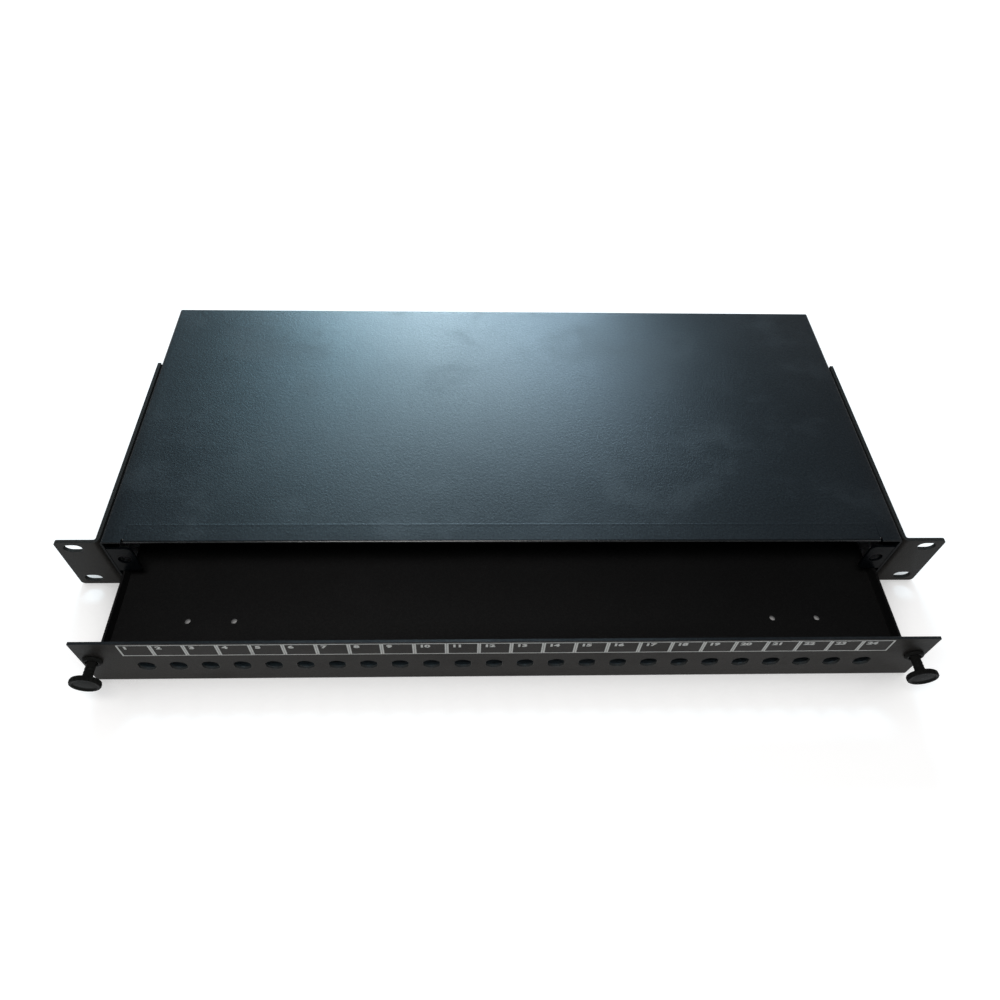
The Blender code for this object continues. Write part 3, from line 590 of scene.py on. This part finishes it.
def latch_socket(side_name, centre):
    """The pin's flanged socket, barbed behind the plate, with four legs around the pin."""
    node = f"latch_grommet_{side_name}"
    low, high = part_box(node)
    out = PANEL_LOW.y - low.y
    end = PANEL_LOW.y - high.y
    flange = (high.x - low.x) / 2
    bore, barrel, barb = 0.00272, 0.00315, 0.00345
    seat, split = 0.0003, -0.0033
    ring = [(bore, split), (bore, -0.0004), (barrel, out), (0.0042, out)]
    ring += [(flange, out - 0.0008), (flange, seat), (barrel, seat), (barrel, -0.0018)]
    ring += [(barb, -0.0019), (barb, -0.0024), (barrel, -0.0030), (barrel, split)]
    ring = eased(ring, 0.0003, 3, closed=True)
    stand_in(node, NYLON, "drawer", "nylon", ring, centre, AHEAD, closed=True)
    leg = [(bore, split), (barrel, split), (barrel, end + 0.0005)]
    leg += [(barrel - 0.00025, end), (bore, end)]
    leg = eased(leg, 0.0, 1, closed=True)
    half_slot = 0.2
    starts = [turn * QUARTER_TURN for turn in range(4)]
    arcs = [(start + half_slot, start + QUARTER_TURN - half_slot) for start in starts]
    stand_in(node, NYLON, "drawer", "nylon", leg, centre, AHEAD, "legs", closed=True, arcs=arcs)


def spool(side_name):
    """Moulded spool with rounded flanges, screwed down through its floor."""
    node = f"fibre_spool_{side_name}"
    low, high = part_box(node)
    flange = (high.x - low.x) / 2
    top = high.z - low.z
    wall, hub, hole = 0.0018, 0.030, 0.0018
    thin = wall - 0.0005
    ring = [(hub - wall, top), (flange, top), (flange, top - wall), (hub, top - wall + 0.0004)]
    ring += [(hub, wall - 0.0004), (flange, wall), (flange, 0), (hole, 0), (hole, wall)]
    ring += [(0.0060, wall), (0.0066, thin), (hub - wall - 0.0006, thin)]
    ring += [(hub - wall, wall + 0.0006)]
    ring = eased(ring, 0.0006, 3, closed=True)
    centre = foot(low, high)
    stand_in(node, SPOOL, "drawer", "spool_plastic", ring, centre, UP, closed=True, around=128)


def lobed_socket(top, depth, mouth):
    """The start of a screw's profile, down in the middle of its six-lobed socket."""
    lobe = 0.0003
    floor_edge = (0.00105, top - depth, lobe)
    return [(0, top - depth), floor_edge, (mouth, top - 0.0001, lobe), (0.0018, top)]


def spool_screw(side_name):
    """Pan-head screw in the spool's floor."""
    node = f"spool_screw_{side_name}"
    low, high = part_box(node)
    top = high.z - low.z
    head = (high.x - low.x) / 2
    under = top - 0.0022
    shank = 0.0015
    profile = lobed_socket(top, 0.0013, 0.00125)
    profile += [(head - 0.0006, top - 0.0003), (head, under + 0.0006), (head, under)]
    profile += [(shank, under), (shank, 0.0002), (0.0013, 0), (0, 0)]
    profile = eased(profile, 0.0002, 3)
    stand_in(node, ZINC, "drawer", "zinc", profile, foot(low, high), UP, around=72, lobes=6)


def ear_screw(node, side):
    """Countersunk screw through ear, casing and guide, with five rings in place of its thread."""
    low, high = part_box(node)
    face = high.x if side > 0 else low.x
    centre = (face, (low.y + high.y) / 2, (low.z + high.z) / 2)
    head = (high.y - low.y) / 2
    end = low.x - high.x
    crest, root, pitch = 0.0020, 0.0017, 0.0006
    profile = lobed_socket(0, 0.0012, 0.00130)
    profile += [(head - 0.0001, 0), (head, -0.0001), (crest, -0.0019)]
    for turn in range(5):
        profile += [(crest, -0.0030 - turn * pitch), (root, -0.0033 - turn * pitch)]
    profile += [(0.0016, end), (0, end)]
    profile = eased(profile, 0.0001, 2)
    axis = (side, 0, 0)
    stand_in(node, BLACK, "case", "black_screw", profile, centre, axis, around=72, lobes=6)


def rivet(node):
    """Blind rivet: a low domed head inside, a dimpled end underneath."""
    low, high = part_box(node)
    top = high.z - low.z
    head = (high.x - low.x) / 2
    shank, dimple = 0.0016, 0.0005
    profile = [(0, top), (head * 0.5, top - 0.00006), (head * 0.85, top - 0.00022)]
    profile += [(head, top - 0.0005), (shank, top - 0.0005), (shank, 0.0002)]
    profile += [(0.0014, 0), (0.0010, 0), (0.0008, dimple), (0, dimple)]
    profile = eased(profile, 0.0001, 2)
    stand_in(node, ZINC, "case", "zinc", profile, foot(low, high), UP, around=48)


def cable_grommet(side_name):
    """Soft rubber edging with full round lips."""
    node = f"cable_grommet_{side_name}"
    low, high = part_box(node)
    centre = (low + high) / 2
    lip, half = (high.x - low.x) / 2, (high.y - low.y) / 2
    neck, bore, wall = lip - 0.0028, lip - 0.0053, half - 0.0016
    ring = [(bore, half), (lip, half), (lip, wall), (neck, wall)]
    ring += [(neck, -wall), (lip, -wall), (lip, -half), (bore, -half)]
    ring = eased(ring, 0.0007, 4, closed=True)
    stand_in(node, RUBBER, "case", "rubber", ring, centre, AHEAD, closed=True, around=128)


# The casing's folded front edge

HEM_HALF = 0.2048
LIP_PROFILE = (
    (0.0, -0.0007),
    (0.00024, -0.00026),
    (0.00062, -0.00008),
    (0.0011, -0.00003),
    (0.0011, -0.0006),
)
CREASE_PROFILE = (
    (0.0010, -0.00004),
    (0.0015, -0.00003),
    (0.0094, -0.00002),
    (0.0100, -0.00001),
    (0.0108, 0.00004),
    (0.0112, 0.00003),
    (0.0118, -0.00003),
    (0.0118, -0.0004),
    (0.0010, -0.0006),
)


def hem_strip(name, profile, coat):
    """A strip along the casing's front edge, drawn as (distance behind the edge, rise) points."""
    low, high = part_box("case_shell")
    shape = bmesh.new()
    ends = []
    for x in (-HEM_HALF, HEM_HALF):
        ends.append([shape.verts.new((x, low.y + along, high.z + rise)) for along, rise in profile])
    for index in range(len(profile)):
        after = (index + 1) % len(profile)
        shape.faces.new((ends[0][index], ends[0][after], ends[1][after], ends[1][index]))
    for end in ends:
        shape.faces.new(end)
    bmesh.ops.recalc_face_normals(shape, faces=shape.faces)
    return add_piece(name, to_mesh(shape, name), coat, "case")


def hem():
    """The fold: a rubbed lip at the front, and a slight crease where the fold ends."""
    hem_strip("hem_lip", LIP_PROFILE, LIP)
    smooth(hem_strip("hem_crease", CREASE_PROFILE, CASE))


label_boxes()
for port in PORTS:
    label_number(port)
for side_name, side in SIDES:
    hole = latch_pin(side_name)
    latch_socket(side_name, hole)
    spool(side_name)
    spool_screw(side_name)
    cable_grommet(side_name)
    for number in SIDE_FASTENERS:
        ear_screw(f"ear_screw_{side_name}_{number}", side)
        rivet(f"base_rivet_{side_name}_{number}")
hem()


# Floor, lights and camera

FLOOR_GREY = (0.50, 0.50, 0.50, 1)
FLOOR_HALF = 12.0
FLOOR_DROP = 0.0002
SHADOW_REACH = 0.06
HORIZON = 0.95
CEILING = 0.035

# The light behind the object: one soft panel for each azimuth in degrees, with its colour
REAR_PANELS = {
    -21: (0.225, 0.419, 0.519),
    -12: (0.525, 0.713, 0.812),
    -3: (0.588, 0.781, 0.889),
    6: (0.486, 0.680, 0.808),
    15: (0.374, 0.556, 0.701),
}
REAR_TARGET = (-0.037, 0.126, 0.044)
REAR_HEIGHT = 36.5
REAR_DISTANCE = 1.6
REAR_SIZE = (0.25, 0.26)
REAR_LEVEL = 0.175

KEY_TARGET = (0, -0.057, 0.044)
KEY_AZIMUTH = 202
KEY_HEIGHT = 69.5
KEY_DISTANCE = 0.62
KEY_SIZE = (0.30, 0.12)
KEY_LEVEL = 0.36
KEY_COLOUR = (1.0, 0.97, 0.94)

# The camera that fits the photo: place, angles in degrees, and lengths in pixels of a side of 1000
CAMERA_PLACE = (-0.02549, -0.27842, 0.40516)
CAMERA_PITCH = 49.5373
CAMERA_YAW = 2.8608
CAMERA_ROLL = 2.3295
FOCAL = 777.34
CENTRE_X = 486.01
CENTRE_Y = 418.01
PICTURE = 1000
SENSOR = 36.0


def floor():
    """Pale table with a glow that fades in the object's contact shadow and rises far away."""
    tree = Tree("pale_floor")
    diffuse = tree.nodes.new("ShaderNodeBsdfDiffuse")
    diffuse.inputs["Color"].default_value = FLOOR_GREY
    path = tree.nodes.new("ShaderNodeLightPath")
    seen = tree.math("MAXIMUM", path.outputs["Is Camera Ray"], path.outputs["Is Glossy Ray"])
    seen = tree.math("MAXIMUM", seen, path.outputs["Is Transmission Ray"])
    open_sky = tree.nodes.new("ShaderNodeAmbientOcclusion")
    open_sky.inputs["Distance"].default_value = SHADOW_REACH
    open_sky.samples = 8
    fade = tree.ramp(open_sky.outputs["AO"], 0.0, 0.9, 0.05, 0.82)
    away = tree.nodes.new("ShaderNodeVectorMath")
    away.operation = "LENGTH"
    tree.put(away.inputs[0], tree.place)
    far = tree.ramp(away.outputs["Value"], 0.6, 2.5, 0.0, 0.18)
    glow = tree.nodes.new("ShaderNodeEmission")
    tree.put(glow.inputs["Strength"], tree.math("MULTIPLY", seen, tree.math("ADD", fade, far)))
    add = tree.nodes.new("ShaderNodeAddShader")
    tree.links.new(diffuse.outputs[0], add.inputs[0])
    tree.links.new(glow.outputs[0], add.inputs[1])
    tree.links.new(add.outputs[0], tree.output.inputs["Surface"])
    shape = bmesh.new()
    bmesh.ops.create_grid(shape, x_segments=1, y_segments=1, size=FLOOR_HALF)
    mesh = to_mesh(shape, "floor")
    mesh.materials.append(tree.material)
    obj = bpy.data.objects.new("floor", mesh)
    obj.location.z = -FLOOR_DROP
    bpy.context.scene.collection.objects.link(obj)


def world():
    """A pale studio: white near the horizon and to the camera, a dim ceiling for the light."""
    surround = bpy.data.worlds.new("studio")
    surround.use_nodes = True
    nodes, links = surround.node_tree.nodes, surround.node_tree.links
    nodes.clear()
    place = nodes.new("ShaderNodeTexCoord")
    split = nodes.new("ShaderNodeSeparateXYZ")
    links.new(place.outputs["Generated"], split.inputs[0])
    rise = nodes.new("ShaderNodeMapRange")
    rise.interpolation_type = "SMOOTHSTEP"
    rise.inputs["From Min"].default_value = 0.10
    rise.inputs["From Max"].default_value = 0.45
    rise.inputs["To Min"].default_value = HORIZON
    rise.inputs["To Max"].default_value = CEILING
    links.new(split.outputs["Z"], rise.inputs["Value"])
    path = nodes.new("ShaderNodeLightPath")
    level = nodes.new("ShaderNodeMath")
    level.operation = "MAXIMUM"
    links.new(rise.outputs["Result"], level.inputs[0])
    links.new(path.outputs["Is Camera Ray"], level.inputs[1])
    light = nodes.new("ShaderNodeBackground")
    light.inputs["Color"].default_value = (1, 1, 1, 1)
    links.new(level.outputs[0], light.inputs["Strength"])
    end = nodes.new("ShaderNodeOutputWorld")
    links.new(light.outputs[0], end.inputs[0])
    bpy.context.scene.world = surround


def lamp(name, target, azimuth, height, distance, size, level, colour):
    """A softbox aimed at a point, set by the light level that it gives a flat top there."""
    lift = radians(height)
    turn = radians(azimuth)
    away = Vector((sin(turn) * cos(lift), cos(turn) * cos(lift), sin(lift)))
    light = bpy.data.lights.new(name, "AREA")
    light.shape = "RECTANGLE"
    light.size, light.size_y = size
    light.energy = level * pi * pi * distance**2 / sin(lift)
    light.color = colour
    obj = bpy.data.objects.new(name, light)
    obj.location = Vector(target) + away * distance
    obj.rotation_euler = (-away).to_track_quat("-Z", "Y").to_euler()
    obj.visible_camera = False
    bpy.context.scene.collection.objects.link(obj)


def lamps():
    rear = (REAR_HEIGHT, REAR_DISTANCE, REAR_SIZE, REAR_LEVEL)
    for azimuth, colour in REAR_PANELS.items():
        lamp(f"rear_softbox_{azimuth}", REAR_TARGET, azimuth, *rear, colour)
    key = (KEY_HEIGHT, KEY_DISTANCE, KEY_SIZE, KEY_LEVEL)
    lamp("key_softbox", KEY_TARGET, KEY_AZIMUTH, *key, KEY_COLOUR)


def camera():
    """The photo's view: place, pitch, yaw and roll, and the picture's centre."""
    pitch, yaw, roll = radians(CAMERA_PITCH), radians(CAMERA_YAW), radians(CAMERA_ROLL)
    ahead = Vector((sin(yaw) * cos(pitch), cos(yaw) * cos(pitch), -sin(pitch)))
    right = Vector((cos(yaw), -sin(yaw), 0))
    up = right.cross(ahead)
    turned_right = cos(roll) * right + sin(roll) * up
    turned_up = cos(roll) * up - sin(roll) * right
    data = bpy.data.cameras.new("photo_camera")
    data.sensor_width = SENSOR
    data.lens = FOCAL / PICTURE * SENSOR
    data.shift_x = (PICTURE / 2 - CENTRE_X) / PICTURE
    data.shift_y = (CENTRE_Y - PICTURE / 2) / PICTURE
    data.clip_start = 0.01
    obj = bpy.data.objects.new("photo_camera", data)
    axes = Matrix((turned_right, turned_up, -ahead)).transposed().to_4x4()
    obj.matrix_world = Matrix.Translation(Vector(CAMERA_PLACE)) @ axes
    bpy.context.scene.collection.objects.link(obj)
    bpy.context.scene.camera = obj


floor()
world()
lamps()
camera()
bpy.context.scene.view_settings.view_transform = "Standard"
